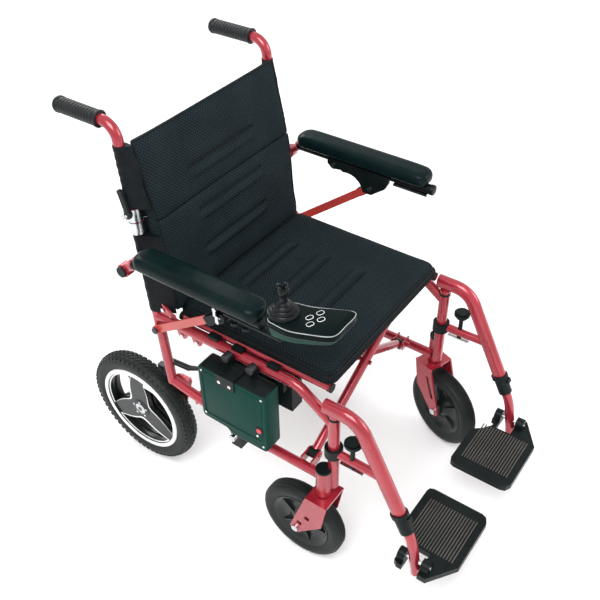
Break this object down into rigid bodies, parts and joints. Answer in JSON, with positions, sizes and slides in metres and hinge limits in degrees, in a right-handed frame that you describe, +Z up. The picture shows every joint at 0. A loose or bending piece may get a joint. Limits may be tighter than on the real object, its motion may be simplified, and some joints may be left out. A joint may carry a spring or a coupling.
{
  "type": "power wheelchair",
  "caption": "Folding power wheelchair with cross-braced tube frame, padded seat and back, joystick, swing-away footrests, spoked drive wheels and swivelling casters.",
  "frame": {"origin": "on the floor under the centre of the chair's bounding box", "axes": "+Z up, front towards -Y, the occupant's left at +X"},
  "size_m": [0.612, 0.9786, 0.9414],
  "materials": {
    "frame_red": "metallic gloss paint",
    "strut_red": "satin paint",
    "black_plastic": "fine grain",
    "case_plastic": "satin",
    "button_red": "gloss",
    "panel_grey": "satin",
    "rubber_black": "matt",
    "fabric_dark": "knitted mesh",
    "tyre_black": "treaded",
    "rim": "satin black with pale edge",
    "motor": "satin",
    "steel": "bright"
  },
  "bodies": {
    "frame_right": {"upper_frame_right": "frame_red", "lower_frame_right": "frame_red", "frame_plugs_right": "black_plastic", "motor_right": "motor", "battery_box": "case_plastic", "controller_box": "black_plastic", "controller_cables": "rubber_black", "back_pad_lower": "fabric_dark"},
    "frame_left": {"upper_frame_left": "frame_red", "lower_frame_left": "frame_red", "frame_plugs_left": "black_plastic", "motor_left": "motor"},
    "brace_a": {"cross_brace_a": "frame_red"},
    "brace_b": {"cross_brace_b": "frame_red", "seat_cushion": "fabric_dark"},
    "back_right": {"back_tube_right": "frame_red", "grip_right": "rubber_black", "back_pad_upper": "fabric_dark"},
    "back_left": {"back_tube_left": "frame_red", "grip_left": "rubber_black"},
    "arm_right": {"arm_rail_right": "frame_red", "arm_pad_right": "black_plastic", "arm_bracket_right": "black_plastic", "joystick_case": "black_plastic"},
    "arm_left": {"arm_rail_left": "frame_red", "arm_pad_left": "black_plastic", "arm_bracket_left": "black_plastic"},
    "gaiter": {"joystick_gaiter": "rubber_black"},
    "stick": {"joystick_stick": "black_plastic"},
    "power_button": {"power_button": "button_red"},
    "panel_button_1": {"panel_button_1": "panel_grey"},
    "panel_button_2": {"panel_button_2": "panel_grey"},
    "panel_button_3": {"panel_button_3": "panel_grey"},
    "panel_button_4": {"panel_button_4": "panel_grey"},
    "lever_right": {"back_lever_right": "black_plastic"},
    "strut_right": {"arm_strut_right": "strut_red"},
    "latch_right": {"arm_latch_right": "steel"},
    "hanger_right": {"hanger_right": "frame_red", "hanger_collar_right": "black_plastic"},
    "knob_right": {"latch_knob_right": "black_plastic"},
    "foot_tube_right": {"footrest_tube_right": "frame_red"},
    "footplate_right": {"footplate_right": "black_plastic"},
    "caster_fork_right": {"caster_fork_right": "frame_red"},
    "caster_wheel_right": {"caster_rim_right": "rim", "caster_tyre_right": "tyre_black"},
    "rear_wheel_right": {"rear_rim_right": "rim", "rear_tyre_right": "tyre_black"},
    "lever_left": {"back_lever_left": "black_plastic"},
    "strut_left": {"arm_strut_left": "strut_red"},
    "latch_left": {"arm_latch_left": "steel"},
    "hanger_left": {"hanger_left": "frame_red", "hanger_collar_left": "black_plastic"},
    "knob_left": {"latch_knob_left": "black_plastic"},
    "foot_tube_left": {"footrest_tube_left": "frame_red"},
    "footplate_left": {"footplate_left": "black_plastic"},
    "caster_fork_left": {"caster_fork_left": "frame_red"},
    "caster_wheel_left": {"caster_rim_left": "rim", "caster_tyre_left": "tyre_black"},
    "rear_wheel_left": {"rear_rim_left": "rim", "rear_tyre_left": "tyre_black"}
  },
  "joints": [
    {"name": "fold", "type": "hinge", "parent": "frame_right", "child": "brace_a", "pos_m": [-0.196, 0.06675, 0.267], "axis": [0, -1, 0], "range_deg": [0, 44], "deforming": ["seat_cushion", "back_pad_lower", "back_pad_upper"]},
    {"name": "cross_pivot", "type": "hinge", "parent": "brace_a", "child": "brace_b", "pos_m": [0, 0.06675, 0.37963], "axis": [0, -1, 0], "range_deg": [-88, 0]},
    {"name": "left_pivot", "type": "hinge", "parent": "brace_b", "child": "frame_left", "pos_m": [0.196, 0.06675, 0.267], "axis": [0, -1, 0], "range_deg": [0, 44]},
    {"name": "back_fold_right", "type": "hinge", "parent": "frame_right", "child": "back_right", "pos_m": [-0.226, 0.28467, 0.724], "axis": [-1, 0, 0], "range_deg": [0, 95]},
    {"name": "back_lever_right", "type": "hinge", "parent": "back_right", "child": "lever_right", "pos_m": [-0.243, 0.25875, 0.744], "axis": [1, 0, 0], "range_deg": [0, 18], "stiffness_Nm_per_rad": 0.5},
    {"name": "arm_flip_right", "type": "hinge", "parent": "frame_right", "child": "arm_right", "pos_m": [-0.226, 0.253, 0.638], "axis": [-1, 0, 0], "range_deg": [0, 100]},
    {"name": "arm_strut_right", "type": "hinge", "parent": "frame_right", "child": "strut_right", "pos_m": [-0.226, 0.23275, 0.462], "axis": [1, 0, 0], "range_deg": [0, 20]},
    {"name": "arm_latch_right", "type": "hinge", "parent": "arm_right", "child": "latch_right", "pos_m": [-0.28, 0.01875, 0.616], "axis": [1, 0, 0], "range_deg": [0, 35]},
    {"name": "hanger_swing_right", "type": "hinge", "parent": "frame_right", "child": "hanger_right", "pos_m": [-0.226, -0.20725, 0.4], "axis": [0, 0, -1], "range_deg": [0, 90]},
    {"name": "hanger_release_right", "type": "slide", "parent": "hanger_right", "child": "knob_right", "axis": [0, 0, -1], "range_m": [0, 0.005], "stiffness_N_per_m": 800},
    {"name": "footrest_length_right", "type": "slide", "parent": "hanger_right", "child": "foot_tube_right", "axis": [0, -0.454, -0.891], "range_m": [0, 0.04]},
    {"name": "footplate_flip_right", "type": "hinge", "parent": "foot_tube_right", "child": "footplate_right", "pos_m": [-0.23, -0.40863, 0.15], "axis": [0, -1, 0], "range_deg": [0, 82.5]},
    {"name": "caster_swivel_right", "type": "hinge", "parent": "frame_right", "child": "caster_fork_right", "pos_m": [-0.242, -0.19425, 0.2], "axis": [0, 0, 1], "continuous": true},
    {"name": "caster_spin_right", "type": "hinge", "parent": "caster_fork_right", "child": "caster_wheel_right", "pos_m": [-0.242, -0.14465, 0.1008], "axis": [1, 0, 0], "continuous": true},
    {"name": "rear_spin_right", "type": "hinge", "parent": "frame_right", "child": "rear_wheel_right", "pos_m": [-0.225, 0.33675, 0.1525], "axis": [1, 0, 0], "continuous": true},
    {"name": "back_fold_left", "type": "hinge", "parent": "frame_left", "child": "back_left", "pos_m": [0.226, 0.28467, 0.724], "axis": [-1, 0, 0], "range_deg": [0, 95]},
    {"name": "back_lever_left", "type": "hinge", "parent": "back_left", "child": "lever_left", "pos_m": [0.243, 0.25875, 0.744], "axis": [1, 0, 0], "range_deg": [0, 18], "stiffness_Nm_per_rad": 0.5},
    {"name": "arm_flip_left", "type": "hinge", "parent": "frame_left", "child": "arm_left", "pos_m": [0.226, 0.253, 0.638], "axis": [-1, 0, 0], "range_deg": [0, 100]},
    {"name": "arm_strut_left", "type": "hinge", "parent": "frame_left", "child": "strut_left", "pos_m": [0.226, 0.23275, 0.462], "axis": [1, 0, 0], "range_deg": [0, 20]},
    {"name": "arm_latch_left", "type": "hinge", "parent": "arm_left", "child": "latch_left", "pos_m": [0.28, 0.01875, 0.616], "axis": [1, 0, 0], "range_deg": [0, 35]},
    {"name": "hanger_swing_left", "type": "hinge", "parent": "frame_left", "child": "hanger_left", "pos_m": [0.226, -0.20725, 0.4], "axis": [0, 0, 1], "range_deg": [0, 90]},
    {"name": "hanger_release_left", "type": "slide", "parent": "hanger_left", "child": "knob_left", "axis": [0, 0, -1], "range_m": [0, 0.005], "stiffness_N_per_m": 800},
    {"name": "footrest_length_left", "type": "slide", "parent": "hanger_left", "child": "foot_tube_left", "axis": [0, -0.454, -0.891], "range_m": [0, 0.04]},
    {"name": "footplate_flip_left", "type": "hinge", "parent": "foot_tube_left", "child": "footplate_left", "pos_m": [0.23, -0.40863, 0.15], "axis": [0, 1, 0], "range_deg": [0, 82.5]},
    {"name": "caster_swivel_left", "type": "hinge", "parent": "frame_left", "child": "caster_fork_left", "pos_m": [0.242, -0.19425, 0.2], "axis": [0, 0, 1], "continuous": true},
    {"name": "caster_spin_left", "type": "hinge", "parent": "caster_fork_left", "child": "caster_wheel_left", "pos_m": [0.22504, -0.24086, 0.1008], "axis": [-0.9397, 0.342, 0], "continuous": true},
    {"name": "rear_spin_left", "type": "hinge", "parent": "frame_left", "child": "rear_wheel_left", "pos_m": [0.225, 0.33675, 0.1525], "axis": [1, 0, 0], "continuous": true},
    {"name": "joystick_forward", "type": "hinge", "parent": "arm_right", "child": "gaiter", "pos_m": [-0.273, -0.12925, 0.702], "axis": [1, 0, 0], "range_deg": [-18, 18], "stiffness_Nm_per_rad": 0.6, "deforming": ["joystick_gaiter"]},
    {"name": "joystick_sideways", "type": "hinge", "parent": "gaiter", "child": "stick", "pos_m": [-0.273, -0.12925, 0.702], "axis": [0, 1, 0], "range_deg": [-18, 18], "stiffness_Nm_per_rad": 0.6, "deforming": ["joystick_gaiter"]},
    {"name": "panel_press_1", "type": "slide", "parent": "arm_right", "child": "panel_button_1", "axis": [0, 0, -1], "range_m": [0, 0.0015], "stiffness_N_per_m": 1000},
    {"name": "panel_press_2", "type": "slide", "parent": "arm_right", "child": "panel_button_2", "axis": [0, 0, -1], "range_m": [0, 0.0015], "stiffness_N_per_m": 1000},
    {"name": "panel_press_3", "type": "slide", "parent": "arm_right", "child": "panel_button_3", "axis": [0, 0, -1], "range_m": [0, 0.0015], "stiffness_N_per_m": 1000},
    {"name": "panel_press_4", "type": "slide", "parent": "arm_right", "child": "panel_button_4", "axis": [0, 0, -1], "range_m": [0, 0.0015], "stiffness_N_per_m": 1000},
    {"name": "power_press", "type": "slide", "parent": "frame_right", "child": "power_button", "axis": [1, 0, 0], "range_m": [0, 0.002], "stiffness_N_per_m": 800}
  ],
  "couplings": [
    {"joint": "cross_pivot", "follows": "fold", "ratio": -2},
    {"joint": "left_pivot", "follows": "fold", "ratio": 1},
    {"joint": "back_fold_left", "follows": "back_fold_right", "ratio": 1},
    {"joint": "footplate_flip_right", "follows": "fold", "ratio": 1.86},
    {"joint": "footplate_flip_left", "follows": "fold", "ratio": 1.86}
  ]
}
